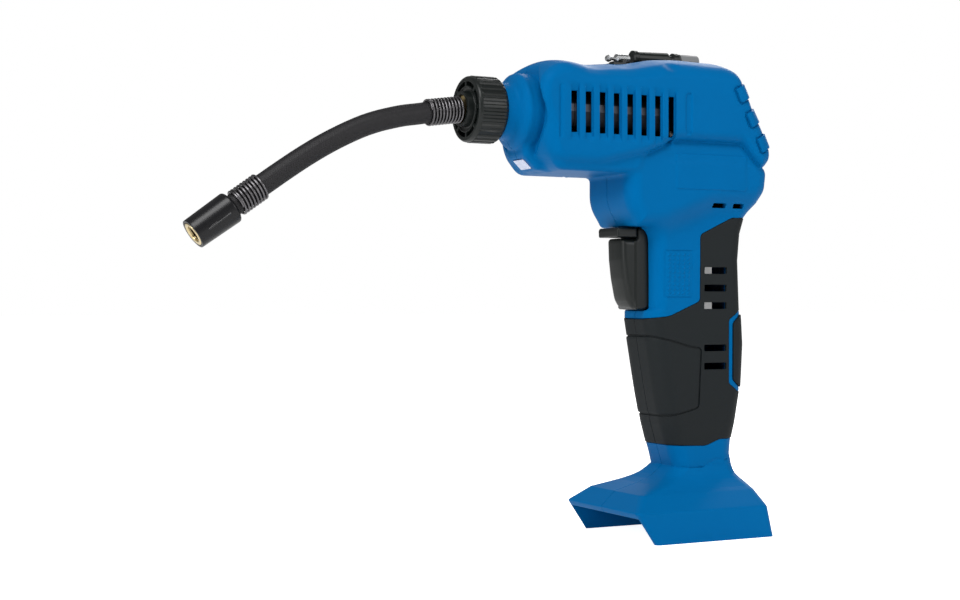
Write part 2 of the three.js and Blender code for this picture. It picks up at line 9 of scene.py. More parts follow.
import bpy
import numpy as np
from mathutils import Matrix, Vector


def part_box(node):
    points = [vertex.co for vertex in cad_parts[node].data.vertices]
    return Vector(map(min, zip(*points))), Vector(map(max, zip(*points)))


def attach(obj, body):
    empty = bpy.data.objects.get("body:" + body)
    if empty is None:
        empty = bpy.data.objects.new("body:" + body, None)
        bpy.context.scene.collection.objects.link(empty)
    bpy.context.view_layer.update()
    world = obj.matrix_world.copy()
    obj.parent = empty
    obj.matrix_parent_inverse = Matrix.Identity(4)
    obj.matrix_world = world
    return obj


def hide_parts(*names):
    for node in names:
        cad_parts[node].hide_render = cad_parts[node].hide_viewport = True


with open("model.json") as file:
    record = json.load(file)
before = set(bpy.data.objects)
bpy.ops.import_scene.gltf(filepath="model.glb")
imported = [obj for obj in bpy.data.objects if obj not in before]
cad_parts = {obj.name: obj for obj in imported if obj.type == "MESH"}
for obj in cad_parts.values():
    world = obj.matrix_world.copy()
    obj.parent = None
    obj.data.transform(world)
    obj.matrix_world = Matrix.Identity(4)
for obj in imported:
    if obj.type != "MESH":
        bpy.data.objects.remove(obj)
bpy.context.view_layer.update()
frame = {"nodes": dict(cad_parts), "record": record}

# ---------------------------------------------------------------- camera and studio
# A camera at the height of the grip looks level at the tool's left side, turned towards its nose.
# A pale floor, a white surround and four soft panels light it as a catalogue picture.

HOUSING_REAR = 87.0  # X of the housing's rearmost point in the tool's own measure
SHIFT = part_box("housing_left")[1].x * 1000 - HOUSING_REAR
BEARING = np.radians(26.8)
LENS, SENSOR = 60.94, 36  # millimetres
FLOOR_HALF = 12.0
CAMERA = Vector(((SHIFT - 464.8) / 1000, -0.75277, 0.12837))


def look(thing, direction):
    """Turns a camera or lamp so that it looks along a direction."""
    thing.rotation_mode = "QUATERNION"
    thing.rotation_quaternion = Vector(direction).to_track_quat("-Z", "Y")


def add_camera():
    """The camera, held level."""
    data = bpy.data.cameras.new("camera")
    data.lens = LENS
    data.sensor_width = SENSOR
    camera = bpy.data.objects.new("camera", data)
    camera.location = CAMERA
    look(camera, (np.sin(BEARING), np.cos(BEARING), 0))
    bpy.context.collection.objects.link(camera)
    bpy.context.scene.camera = camera


def add_panel(name, place, target, size, watts):
    """A square soft lamp at a place, turned towards a target."""
    data = bpy.data.lights.new(name, "AREA")
    data.shape = "SQUARE"
    data.size = size
    data.energy = watts
    lamp = bpy.data.objects.new(name, data)
    lamp.location = place
    look(lamp, Vector(target) - Vector(place))
    bpy.context.collection.objects.link(lamp)


def linear(text):
    """Turns an sRGB hex colour into linear light."""
    values = np.array([int(text[i:i + 2], 16) for i in (1, 3, 5)]) / 255
    bright = ((values + 0.055) / 1.055) ** 2.4
    return (*np.where(values <= 0.04045, values / 12.92, bright), 1.0)


def node(tree, kind, settings=None, **links):
    """Adds one shader node, sets its fields and constant inputs, and links its other inputs."""
    made = tree.nodes.new("ShaderNode" + kind)
    for name, value in (settings or {}).items():
        setattr(made, name, value)
    for name, value in links.items():
        socket = made.inputs[int(name[1:])] if name[0] == "_" else made.inputs[name.replace("_", " ")]
        if isinstance(value, bpy.types.NodeSocket):
            tree.links.new(value, socket)
        else:
            socket.default_value = value
    return made


def shader(name, **constants):
    """A new material with one Principled shader, its constants set on the shader's own sockets."""
    made = bpy.data.materials.new(name)
    made.use_nodes = True
    principled = made.node_tree.nodes["Principled BSDF"]
    for key, value in constants.items():
        principled.inputs[key.replace("_", " ")].default_value = value
    return made, made.node_tree, principled


def add_floor():
    """A wide pale floor under the tool, with the faintest mottle."""
    mesh = bpy.data.meshes.new("floor")
    half = FLOOR_HALF
    corners = [(-half, -half, 0), (half, -half, 0), (half, half, 0), (-half, half, 0)]
    mesh.from_pydata(corners, [], [(0, 1, 2, 3)])
    floor = bpy.data.objects.new("floor", mesh)
    bpy.context.collection.objects.link(floor)
    made, tree, principled = shader("studio_floor", Roughness=0.9, Emission_Color=(1, 1, 1, 1))
    spot = node(tree, "TexCoord").outputs["Object"]
    mottle = node(tree, "TexNoise", Vector=spot, Scale=3.0).outputs["Fac"]
    tone = node(tree, "Mix", {"data_type": "RGBA"}, Factor=mottle, _6=linear("#f4f4f3"), _7=linear("#fafafa"))
    tree.links.new(tone.outputs[2], principled.inputs["Base Color"])
    seen = node(tree, "LightPath").outputs["Is Camera Ray"]
    glow = node(tree, "MapRange", Value=seen, To_Min=0.2, To_Max=0.9).outputs[0]
    tree.links.new(glow, principled.inputs["Emission Strength"])
    mesh.materials.append(made)


def add_surround():
    """A plain white surround, the same from every side."""
    world = bpy.data.worlds.new("surround")
    world.use_nodes = True
    tree = world.node_tree
    seen = node(tree, "LightPath").outputs["Is Camera Ray"]
    strength = node(tree, "MapRange", Value=seen, To_Min=0.24, To_Max=1.0).outputs[0]
    tree.nodes["Background"].inputs["Color"].default_value = (1, 1, 1, 1)
    tree.links.new(strength, tree.nodes["Background"].inputs["Strength"])
    bpy.context.scene.world = world


add_camera()
add_floor()
add_surround()
add_panel("key_panel", (-0.7, -0.8, 1.5), (0, 0, 0.15), 0.8, 18)
add_panel("front_panel", (-1.4, -0.35, 0.5), (0, 0, 0.2), 0.5, 7)
add_panel("side_panel", (0.5, -1.0, 0.6), (0.1, 0, 0.2), 0.5, 4)
add_panel("rear_panel", (1.1, 1.0, 1.0), (0, 0, 0.15), 0.9, 12)
bpy.context.scene.view_settings.view_transform = "Standard"

# ---------------------------------------------------------------- hose
# An 11 mm rubber hose under a tight braid of black yarn, held out by its own stiffness.
# It leaves the tail fitting in the nose nut and droops to the valve connector.

HOSE_ROUTE = np.array([
    (-96.4, 226.6), (-103, 225.8), (-109, 225), (-115, 224), (-121, 223), (-128, 221.9), (-135, 220.3),
    (-142, 218.4), (-149, 216), (-156, 213), (-163, 209.6), (-170, 205.9), (-177, 201.8), (-184, 197.4),
    (-190, 193.4), (-196, 189.3), (-202, 185.1), (-208, 180.9), (-213, 177.3), (-218.2, 173.7),
])
HOSE_RADIUS = 5.5
YARN_RISE = 0.36
BRAID_CARRIERS = 24  # strands wound each way
BRAID_PITCH = 26.0  # length in which a strand goes once round


def metres(points):
    """Points in the tool's own millimetres, put into the shared frame in metres."""
    return (np.asarray(points, float) + (SHIFT, 0, 0)) / 1000


def place(name, points, faces, material, body="root"):
    """Makes a piece from points in millimetres and faces, and lets it ride on a body."""
    mesh = bpy.data.meshes.new(name)
    mesh.from_pydata(metres(points), [], faces)
    mesh.polygons.foreach_set("use_smooth", np.ones(len(mesh.polygons), bool))
    mesh.materials.append(material)
    mesh.validate()
    piece = bpy.data.objects.new(name, mesh)
    bpy.context.collection.objects.link(piece)
    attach(piece, body)
    return piece


def mark(piece, name, values):
    """Stores one number for each corner point of a piece, for its material to read."""
    piece.data.attributes.new(name, "FLOAT", "POINT").data.foreach_set("value", np.ravel(values))


def smooth_route(points, count):
    """Even stations on the Catmull-Rom curve through points, and the unit direction at each."""
    padded = np.vstack([2 * points[0] - points[1], points, 2 * points[-1] - points[-2]])
    t = np.linspace(0, 1, 40, endpoint=False)[:, None]
    a, b, c, d = padded[:-3, None], padded[1:-2, None], padded[2:-1, None], padded[3:, None]
    curve = 0.5 * (2 * b + (c - a) * t + (2 * a - 5 * b + 4 * c - d) * t**2 + (3 * b - a - 3 * c + d) * t**3)
    curve = np.vstack([curve.reshape(-1, points.shape[1]), points[-1]])
    run = np.concatenate([[0], np.cumsum(np.linalg.norm(np.diff(curve, axis=0), axis=1))])
    even = np.linspace(0, run[-1], count)
    line = np.column_stack([np.interp(even, run, curve[:, k]) for k in range(points.shape[1])])
    heading = np.gradient(line, axis=0)
    return line, heading / np.linalg.norm(heading, axis=1)[:, None], run[-1]


def sweep(line, heading, radii, around):
    """Points of a tube in the plane Y = 0: at each station a ring whose radius may change all round it."""
    angle = np.linspace(0, 2 * np.pi, around, endpoint=False)
    up = np.column_stack([-heading[:, 1], heading[:, 0]])
    out = radii * np.cos(angle)
    across = radii * np.sin(angle)
    x = line[:, :1] + up[:, :1] * out
    z = line[:, 1:] + up[:, 1:] * out
    return np.stack([x, across * np.ones_like(x), z], axis=-1)


def quads(rows, columns):
    """Faces of a grid of points, whose columns close on themselves."""
    i = np.arange(rows - 1)[:, None]
    j = np.arange(columns)[None]
    k = (j + 1) % columns
    corners = [i * columns + j, i * columns + k, (i + 1) * columns + k, (i + 1) * columns + j]
    return np.stack(corners, -1).reshape(-1, 4)


def capped(grid, flip=False):
    """A tube's points and faces, with both ends closed by a fan."""
    rows, columns = grid.shape[:2]
    points = np.vstack([grid.reshape(-1, 3), grid[0].mean(0), grid[-1].mean(0)])
    faces = quads(rows, columns).tolist()
    first, last, base = rows * columns, rows * columns + 1, (rows - 1) * columns
    for j in range(columns):
        k = (j + 1) % columns
        faces.append([first, k, j])
        faces.append([last, base + j, base + k])
    if flip:
        faces = [face[::-1] for face in faces]
    return points, faces


def braid_height(along, around):
    """How high the yarn stands at each place on a braid: two families of flat strands that wind
    opposite ways, each passing over two and under two of the other."""
    turn = around / (2 * np.pi) * BRAID_CARRIERS
    climb = along / BRAID_PITCH * BRAID_CARRIERS
    one, other = turn + climb, turn - climb

    def crown(strand):
        return np.sqrt(np.clip(1 - (2 * (strand % 1) - 1) ** 2, 0, 1))

    over = ((np.floor(one) + np.floor(other)) % 4) < 2
    return np.where(over, crown(one), crown(other))


def yarn_material():
    """Black yarn, greyer on its crowns and nearly black in the crossings, the dark crossings being painted
    shade between the strands.
    """
    made, tree, principled = shader("hose_yarn", Roughness=0.55, Specular_IOR_Level=0.35)
    height = node(tree, "Attribute", {"attribute_name": "yarn"}).outputs["Fac"]
    spot = node(tree, "TexCoord").outputs["Object"]
    fibre = node(tree, "TexNoise", Vector=spot, Scale=2600.0, Detail=3.0).outputs["Fac"]
    # Painted shade: the tone darkens from the crowns down into the crossings, where the strands shade each
    # other.
    painted_crossing_shade = node(tree, "Math", {"operation": "POWER"}, _0=height, _1=2.5).outputs[0]
    shade_and_fibre = node(tree, "Math", {"operation": "MULTIPLY"}, _0=painted_crossing_shade, _1=fibre).outputs[0]
    tone = node(tree, "Mix", {"data_type": "RGBA"}, Factor=shade_and_fibre, _6=linear("#010101"), _7=linear("#2e2c31"))
    bump = node(tree, "Bump", Strength=0.35, Distance=0.0001, Height=fibre).outputs[0]
    tree.links.new(tone.outputs[2], principled.inputs["Base Color"])
    tree.links.new(bump, principled.inputs["Normal"])
    return made


def add_hose():
    """The braided hose, and its middle line and length in metres."""
    around, stations = 144, 460
    line, heading, length = smooth_route(HOSE_ROUTE, stations)
    angle = np.linspace(0, 2 * np.pi, around, endpoint=False)[None]
    along = np.linspace(0, length, stations)[:, None]
    yarn = braid_height(along, angle)
    grid = sweep(line, heading, HOSE_RADIUS - YARN_RISE + YARN_RISE * yarn, around)
    points, faces = capped(grid)
    piece = place("braided_hose", points, faces, yarn_material())
    mark(piece, "yarn", np.concatenate([np.ravel(yarn), [0, 0]]))
    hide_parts("hose")
    return piece, metres(np.column_stack([line[:, 0], 0 * line[:, 0], line[:, 1]])), length / 1000


hose, hose_path, hose_length = add_hose()

# ---------------------------------------------------------------- hose springs
# A close-wound spring of blackened steel wire grips each end of the hose and stops it kinking.
# The coils are pushed over the hose, and their worn crests shine.

REAR_SPRING = (-96.4, 226.6), (-115, 224)
FRONT_SPRING = (-203.8, 183.8), (-216.4, 174.9)
SPRING_RADIUS = 6.35
WIRE_RADIUS = 0.62
WIRE_PITCH = 1.75
FLAT_TURN = 0.6  # turns that lie flat at each end


def wire_material():
    """Blackened wire, worn bright where it is rubbed."""
    made, tree, principled = shader("spring_wire", Metallic=1.0)
    spot = node(tree, "TexCoord").outputs["Object"]
    wear = node(tree, "TexNoise", Vector=spot, Scale=120.0, Detail=2.0).outputs["Fac"]
    tone = node(tree, "Mix", {"data_type": "RGBA"}, Factor=wear, _6=linear("#3a393a"), _7=linear("#858386"))
    rough = node(tree, "MapRange", Value=wear, To_Min=0.28, To_Max=0.4).outputs[0]
    tree.links.new(tone.outputs[2], principled.inputs["Base Color"])
    tree.links.new(rough, principled.inputs["Roughness"])
    return made


def coil(start, end, radius, wire, turns, around=10, per_turn=40):
    """Points and faces of a helical spring between two places in the plane Y = 0. Its two end
    turns lie flat, and its wire has a round section."""
    steps = int(turns * per_turn)
    turn = np.linspace(0, turns, steps)
    share = np.clip((turn - FLAT_TURN) / (turns - 2 * FLAT_TURN), 0, 1)
    axis = (end - start) / np.linalg.norm(end - start)
    up = np.array([-axis[1], axis[0]])
    centre = start + axis * (wire + share[:, None] * (np.linalg.norm(end - start) - 2 * wire))
    phase = 2 * np.pi * turn[:, None]
    angle = np.linspace(0, 2 * np.pi, around, endpoint=False)[None]
    reach = radius + wire * np.cos(angle)
    shift = wire * np.sin(angle)
    x = centre[:, :1] + up[0] * reach * np.cos(phase) + axis[0] * shift
    z = centre[:, 1:] + up[1] * reach * np.cos(phase) + axis[1] * shift
    return capped(np.stack([x, reach * np.sin(phase), z], -1), flip=True)


def add_spring(name, node_name, start, end):
    """One strain-relief spring over the hose."""
    start, end = np.array(start), np.array(end)
    turns = np.linalg.norm(end - start) / WIRE_PITCH
    points, faces = coil(start, end, SPRING_RADIUS, WIRE_RADIUS, turns)
    piece = place(name, points, faces, WIRE)
    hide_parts(node_name)
    return piece


WIRE = wire_material()
springs = [
    add_spring("rear_hose_spring", "hose_spring_rear", *REAR_SPRING),
    add_spring("front_hose_spring", "hose_spring_front", *FRONT_SPRING),
]

# ---------------------------------------------------------------- valve connector
# A black plastic sleeve over a threaded brass insert, which screws onto a tyre valve.
# A small grip rib stands on each side of the sleeve, and the whole end spins on the hose.

# The sleeve, like every moulded piece after it, is a field: the distance to its surface, negative
# inside. Fields are joined and cut, and surface() turns one into a closed mesh of quads.
CONNECTOR_FRONT = np.array([-238.1, 0, 159.5])
CONNECTOR_REAR = np.array([-218.5, 0, 173.4])
CONNECTOR_LENGTH = float(np.linalg.norm(CONNECTOR_REAR - CONNECTOR_FRONT))
CONNECTOR_BACK = (CONNECTOR_REAR - CONNECTOR_FRONT) / CONNECTOR_LENGTH
SLEEVE_RADIUS = 7.7  # at the front face
SLEEVE_SWELL = 0.55  # how much wider the rear is
INSERT_SEAT = 11.6  # depth of the wide part of the sleeve's bore
INSERT_BORE = 6.35
TAIL_BORE = 3.6
THREAD_START, THREAD_END, THREADS = 1.0, 10.8, 10.4
THREAD_CREST, THREAD_HEIGHT = 3.78, 0.22
SHARP_ANGLE = np.radians(32)  # edges sharper than this stay crisp


def join(a, b, width):
    """The union of two fields, with a fillet about as wide as width."""
    near = np.maximum(width - np.abs(a - b), 0) / width
    return np.minimum(a, b) - near * near * width / 4


def cut(a, b, width=0.4):
    """Field a with field b taken away, the new edge broken by about width."""
    return -join(-a, b, width)


def rectangle(x, z, x0, x1, z0, z1, corner=0.0):
    """Distance to an upright rectangle with round corners."""
    dx = np.abs(x - (x0 + x1) / 2) - (x1 - x0) / 2 + corner
    dz = np.abs(z - (z0 + z1) / 2) - (z1 - z0) / 2 + corner
    return np.minimum(np.maximum(dx, dz), 0) + np.hypot(np.maximum(dx, 0), np.maximum(dz, 0)) - corner


def surface(field, low, high, step):
    """Dual contour of a field on a grid. Every grid edge that the surface crosses gives a plane,
    from the field's value and slope at the crossing. Each cell's point is the place nearest to
    the planes of its edges, kept in the cell, and each crossed edge becomes one quad."""
    axes = [np.arange(a, b + step, step) for a, b in zip(low, high)]
    value = (field(*np.ix_(*axes)) + np.zeros([len(a) for a in axes])).astype(np.float32)
    inside = value < 0
    cells = np.array(value.shape) - 1
    total = np.zeros((12, int(np.prod(cells))), np.float32)
    rings = []
    for axis in range(3):
        one, two = (axis + 1) % 3, (axis + 2) % 3
        near = np.take(inside, range(cells[axis]), axis)
        edge = np.argwhere(near != np.take(inside, range(1, cells[axis] + 1), axis))
        within = [(edge[:, k] > 0) & (edge[:, k] < cells[k]) for k in (one, two)]
        edge = edge[within[0] & within[1]]
        ahead = edge + np.eye(3, dtype=int)[axis]
        start, end = value[tuple(edge.T)], value[tuple(ahead.T)]
        point = np.array(low) + step * (edge + (start / (start - end))[:, None] * (ahead - edge))
        level, slope = planes(field, point, 0.1 * step)
        offset = (slope * point).sum(1) - level
        terms = [slope[:, i] * slope[:, j] for i, j in ((0, 0), (0, 1), (0, 2), (1, 1), (1, 2), (2, 2))]
        terms += [*(slope.T * offset), *point.T]
        ring = []
        for d1, d2 in ((1, 1), (0, 1), (0, 0), (1, 0)):
            cell = edge.copy()
            cell[:, one] -= d1
            cell[:, two] -= d2
            ring.append(np.ravel_multi_index(tuple(cell.T), cells))
            for row, term in zip(total, terms):
                row += np.bincount(ring[-1], term, total.shape[1]).astype(np.float32)
        ring = np.stack(ring, 1)
        rings.append(np.where(inside[tuple(edge.T)][:, None], ring, ring[:, ::-1]))
    faces = np.vstack(rings)
    used, faces = np.unique(faces, return_inverse=True)
    faces = faces.reshape(-1, 4)
    count = np.bincount(faces.ravel())  # corners of quads at each point
    xx, xy, xz, yy, yz, zz, bx, by, bz, mx, my, mz = total[:, used].astype(float)
    mean = np.stack([mx, my, mz], 1) / count[:, None]
    pull = 0.05 * count
    matrix = np.stack([xx + pull, xy, xz, xy, yy + pull, yz, xz, yz, zz + pull], 1).reshape(-1, 3, 3)
    right = np.stack([bx, by, bz], 1) + pull[:, None] * mean
    solved = np.linalg.solve(matrix, right[:, :, None])[:, :, 0]
    corner = np.array(low) + step * np.stack(np.unravel_index(used, cells), 1)
    return np.clip(solved, corner, corner + step), faces


def planes(field, point, reach):
    """A field's value and unit slope at points, the value in lengths of that slope."""
    level = field(*point.T)
    slope = np.stack([field(*(point + move).T) - level for move in np.eye(3) * reach], 1) / reach
    size = np.maximum(np.linalg.norm(slope, axis=1), 0.2)
    return level / size, slope / size[:, None]


def moulded(name, field, low, high, step, material, body="root", turned=None, keep=1.0):
    """Makes a piece from its field. turned maps the field's own axes into the tool's, and keep is
    the share of the faces left once flat places are thinned out."""
    points, faces = surface(field, low, high, step)
    if turned is not None:
        points = turned(points)
    piece = place(name, points, faces.tolist(), material, body)
    if keep < 1:
        thinner = piece.modifiers.new("thin out", "DECIMATE")
        thinner.ratio = keep
        shown = piece.evaluated_get(bpy.context.evaluated_depsgraph_get())
        piece.data = bpy.data.meshes.new_from_object(shown)
        piece.modifiers.clear()
    piece.data.set_sharp_from_angle(angle=SHARP_ANGLE)
    return piece


def plastic(name, dark, light, roughness, grain, depth, gloss=0.3, sheen="#ffffff"):
    """Moulded plastic: a spark-eroded grain a fraction of a millimetre across, with a faint
    change of tone and gloss over centimetres."""
    made, tree, principled = shader(name, Specular_IOR_Level=gloss, Specular_Tint=linear(sheen))
    spot = node(tree, "TexCoord").outputs["Object"]
    cloud = node(tree, "TexNoise", Vector=spot, Scale=22.0, Detail=2.0).outputs["Fac"]
    fine = node(tree, "TexNoise", Vector=spot, Scale=1000 / grain, Detail=2.0).outputs["Fac"]
    tone = node(tree, "Mix", {"data_type": "RGBA"}, Factor=cloud, _6=linear(dark), _7=linear(light))
    rough = node(tree, "MapRange", Value=cloud, To_Min=roughness - 0.04, To_Max=roughness + 0.05).outputs[0]
    bump = node(tree, "Bump", Strength=0.5, Distance=depth / 1000, Height=fine).outputs[0]
    tree.links.new(tone.outputs[2], principled.inputs["Base Color"])
    tree.links.new(rough, principled.inputs["Roughness"])
    tree.links.new(bump, principled.inputs["Normal"])
    return made


def metal(name, dark, light, roughness, scale=300.0):
    """Turned or drawn metal, with a fine change of tone and gloss."""
    made, tree, principled = shader(name, Metallic=1.0)
    spot = node(tree, "TexCoord").outputs["Object"]
    grain = node(tree, "TexNoise", Vector=spot, Scale=scale, Detail=4.0).outputs["Fac"]
    tone = node(tree, "Mix", {"data_type": "RGBA"}, Factor=grain, _6=linear(dark), _7=linear(light))
    rough = node(tree, "MapRange", Value=grain, To_Min=roughness - 0.06, To_Max=roughness + 0.1).outputs[0]
    tree.links.new(tone.outputs[2], principled.inputs["Base Color"])
    tree.links.new(rough, principled.inputs["Roughness"])
    return made


GLOSS_BLACK = plastic("black_connector_plastic", "#0d0d0f", "#131316", 0.3, 0.5, 0.01)


def along_connector(points):
    """From distance behind the front face, side and up, into the tool's own measure."""
    up = np.array([-CONNECTOR_BACK[2], 0, CONNECTOR_BACK[0]])
    side = np.array([0, 1, 0])
    return CONNECTOR_FRONT + points[:, :1] * CONNECTOR_BACK + points[:, 1:2] * side + points[:, 2:] * up


def sleeve_field(d, s, u):
    """The sleeve: a slight cone with a chamfered rear, a bore stepped for the insert, and ribs."""
    r = np.hypot(s, u)
    cone = SLEEVE_RADIUS + SLEEVE_SWELL * d / CONNECTOR_LENGTH
    outer = np.maximum(r - cone, np.maximum(0.35 - d, d - CONNECTOR_LENGTH + 0.2))
    outer = -join(-outer, -(r + (d - CONNECTOR_LENGTH) * 0.9 - 7.4), 0.5)
    outer = -join(-outer, -(r - d - 7.3), 0.3)
    rib = np.maximum(np.abs(u + 1.2) + 0.7 * (np.abs(s) - 8.75), rectangle(d, np.abs(s), 6, 19.5, 6.5, 8.7))
    outer = join(outer, rib, 0.2)
    bore = np.where(d < INSERT_SEAT, r - INSERT_BORE, r - TAIL_BORE)
    return cut(outer, bore, 0.3)


def insert_points():
    """The brass insert: a profile turned round the axis, its bore cut with a fine thread."""
    around = 72
    depth = np.linspace(THREAD_START, THREAD_END, 150)
    thread = THREAD_CREST + THREAD_HEIGHT * np.abs(2 * ((depth / THREAD_END * THREADS) % 1) - 1)
    profile = np.vstack([
        [(6.2, 10.9), (6.2, 5), (6.2, 0.35), (6.1, 0.22), (5.2, 0.2), (4.45, 0.25), (4.2, 0.5)],
        np.column_stack([thread, depth]),
    ])
    angle = np.linspace(0, 2 * np.pi, around, endpoint=False)
    r, d = profile[:, :1], profile[:, 1:]
    grid = np.stack([d + 0 * angle, r * np.cos(angle), r * np.sin(angle)], -1)
    points = along_connector(grid.reshape(-1, 3))
    rows = len(profile)
    faces = quads(rows, around)
    ring = np.arange(around)
    onward = (ring + 1) % around
    last = (rows - 1) * around
    close = np.stack([last + ring, last + onward, onward, ring], 1)
    return points, np.vstack([faces, close]).tolist()


def threaded_brass():
    """Brass made darker down the bore, in place of the shade that a deep narrow hole has."""
    made = metal("threaded_brass", "#c4aa72", "#e9dcb4", 0.2)
    tree = made.node_tree
    principled = tree.nodes["Principled BSDF"]
    bright = principled.inputs["Base Color"].links[0].from_socket
    depth = node(tree, "Attribute", {"attribute_name": "depth"}).outputs["Fac"]
    shade = node(tree, "MapRange", Value=depth, From_Min=0.3, From_Max=2.2).outputs[0]
    tone = node(tree, "Mix", {"data_type": "RGBA"}, Factor=shade, _6=bright, _7=linear("#3a2c17"))
    tree.links.new(tone.outputs[2], principled.inputs["Base Color"])
    return made


def add_connector():
    """The connector's sleeve and brass insert. Its seal and core pin are the frame's own."""
    box = (-0.6, -9.4, -8.9), (CONNECTOR_LENGTH + 0.6, 9.4, 8.9)
    sleeve = moulded(
        "valve_connector_sleeve", sleeve_field, *box, 0.28, GLOSS_BLACK, "connector", along_connector)
    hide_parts("connector_sleeve")
    points, faces = insert_points()
    insert = place("valve_connector_insert", points, faces, threaded_brass(), "connector")
    from_front = points - CONNECTOR_FRONT
    depth = from_front @ CONNECTOR_BACK
    bore = np.linalg.norm(from_front - np.outer(depth, CONNECTOR_BACK), axis=1) < 4.3
    mark(insert, "depth", bore * depth)
    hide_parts("connector_insert")
    return [sleeve, insert]


connector = add_connector()

# ---------------------------------------------------------------- housing
# Two clamshell halves of glass-filled nylon, screwed together from the right. A raised barrel
# panel laps over the narrower belly and bulge, which run down through the grip into the foot.


def sink(field, region, depth):
    """The field lowered by depth wherever region is negative."""
    return np.maximum(field, np.minimum(-region, field + depth))


def raise_(field, region, height):
    """The field raised by height wherever region is negative."""
    return np.minimum(field, np.maximum(region, field - height))


def softened(points, radius, steps=5):
    """A closed outline with every corner turned into a short curve."""
    points = np.array(points, float)
    made = []
    for before, corner, after in zip(np.roll(points, 1, 0), points, np.roll(points, -1, 0)):
        a, b = before - corner, after - corner
        reach = min(radius, 0.45 * np.linalg.norm(a), 0.45 * np.linalg.norm(b))
        start = corner + a / np.linalg.norm(a) * reach
        end = corner + b / np.linalg.norm(b) * reach
        t = np.linspace(0, 1, steps)[:, None]
        made.append((1 - t) ** 2 * start + 2 * t * (1 - t) * corner + t**2 * end)
    return np.vstack(made)


def outline(x, z, points):
    """Distance to a closed outline: the least distance to a side, negative where a ray crosses an
    odd number of sides."""
    nearest = np.inf
    inside = False
    for (x0, z0), (x1, z1) in zip(points, np.roll(points, -1, 0)):
        ex, ez = x1 - x0, z1 - z0
        t = np.clip(((x - x0) * ex + (z - z0) * ez) / (ex * ex + ez * ez), 0, 1)
        nearest = np.minimum(nearest, (x - x0 - t * ex) ** 2 + (z - z0 - t * ez) ** 2)
        rise = ez if abs(ez) > 1e-9 else 1e-9
        inside = inside ^ (((z0 <= z) != (z1 <= z)) & (x < x0 + (z - z0) * ex / rise))
    return np.where(inside, -1, 1) * np.sqrt(nearest)


def prism(x, y, z, points, half, edge):
    """An outline carried across the tool from -half to half, its edges rounded."""
    flat = outline(x, z, points) + edge
    side = np.abs(y) - half + edge
    return np.minimum(np.maximum(flat, side), 0) + np.hypot(np.maximum(flat, 0), np.maximum(side, 0)) - edge


BARREL = softened([
    (-50, 199), (-57.5, 201.5), (-61, 209), (-62.5, 222), (-62.5, 241), (-60.5, 247), (-56.5, 251.3),
    (-50, 254.5), (-43, 255), (-36, 254.8), (-29, 253.8), (-24, 253.9), (-14, 255), (-6, 255.4), (2, 257),
    (12, 259), (28, 260), (55, 259.5), (64, 256), (70, 246), (86.5, 211), (86.5, 206),
    (81.5, 200), (65, 213.9), (21, 214.2), (1, 205.6), (-26, 199),
], 4)
BELLY = softened([(-56, 212), (-56, 202), (-50.5, 195.6), (-2, 195.6), (4, 212)], 4)
CHIN = softened([(-64, 203.8), (-64, 216), (-50, 222), (-44, 206), (-47, 196), (-55.8, 196)], 2)
BULGE = softened([
    (-7.8, 205), (-7.8, 183), (-6.2, 177), (-2, 170.5), (-0.5, 167.9), (13, 167.9), (30, 174),
    (48, 181), (76, 183), (82, 188), (83.5, 199.5), (66, 217), (20, 217), (0, 209),
], 3)
# Height, front, rear, half width and corner radius of the foot, neck and grip.
COLUMN = np.array([
    (-2, 0, 76.4, 37.5, 3), (0, 0, 76, 37.5, 3), (16.6, -11.5, 72, 37.5, 3), (17.4, -11.2, 71.8, 36.8, 3),
    (25, -3, 70.4, 28, 4), (27, 4.5, 69.8, 25.2, 5), (29, 12, 68.8, 22.8, 6), (31, 17.4, 67.6, 20.6, 7),
    (33, 21.2, 66.6, 19, 8), (35.5, 24.6, 65.8, 17.8, 8), (38, 27.6, 65.4, 17, 8),
    (44, 25.6, 64.6, 16.9, 9),
    (51, 23.4, 65.2, 17, 9), (61, 20.4, 68, 17.5, 10), (78, 16.8, 71.2, 17.5, 10),
    (104, 12.2, 72.6, 17.5, 10),
    (118, 9.8, 71.8, 17.5, 10), (122.4, 10.4, 70.8, 17.5, 9), (124, 12.6, 70, 17.5, 8),
    (150, 12.4, 68.6, 18, 8),
    (165, 12.2, 70, 18, 8), (174, 12, 73, 18, 8), (182, 12, 79, 18, 8), (196, 12, 80, 18, 8),
])
NOSE_Z = 227.0
WALL = 2.5
RUBBER_RECESS = 1.7
SCREW_HOLE = 3.1
FLANK = 15  # features cut or raised on one side only lie beyond this Y
DIP_XS = (-28, -4, 17)  # shallow scoops along the barrel's top edges
NOSE_BORE = 7.6
SLOT_HALF_WIDTH = 9.7  # of the opening that the trigger slides in
TRAY_OPENING = -10.4, 52.4, 249, 280
DISPLAY_WINDOW = -16.3, 16.3, -14.3, 14.3
LAMP_POCKET = -3.5, 3.5, -5.9, 5.9
FLANK_PAD = 20.8, 66.6, 188, 206.8
PLATE_RECESS = 17.6, 35.4, 129.6, 155.3
TRIGGER_SLOT = -30, 22, 122.9, 167.8  # front, rear, bottom and top
LOCK_SLOT = -30, 8, 161, 167.8
REAR_SLOTS = (47, 56), (61, 68)
COVER = softened([
    (-20, 51), (45.1, 49), (53.8, 52.3), (90, 52.4), (90, 173.6), (61.6, 173.6), (40.7, 163.9),
    (40.7, 127.7), (21.4, 119.7), (6.6, 118), (-20, 118.6),
], 2)
PALM_FRAME = softened([
    (90, 122.7), (67.7, 122.7), (59.9, 117.7), (59.7, 82.6), (66.6, 77.9), (90, 77.9),
], 1.5)
PALM_INSERT = softened([
    (90, 120.5), (68.5, 120.5), (62.4, 115.9), (62.2, 84.4), (68, 80.2), (90, 80.2),
], 1.5)
VENT_XS = -43.5 + 8.5 * np.arange(8)
VENT_HALF, VENT_BOTTOM, VENT_TOP = 1.95, 215, 236.5
CHANNEL_HALF, CHANNEL_BOTTOM, CHANNEL_TOP = 2.5, 209, 242  # the groove round each vent
CHANNEL_DEPTH = 1.3
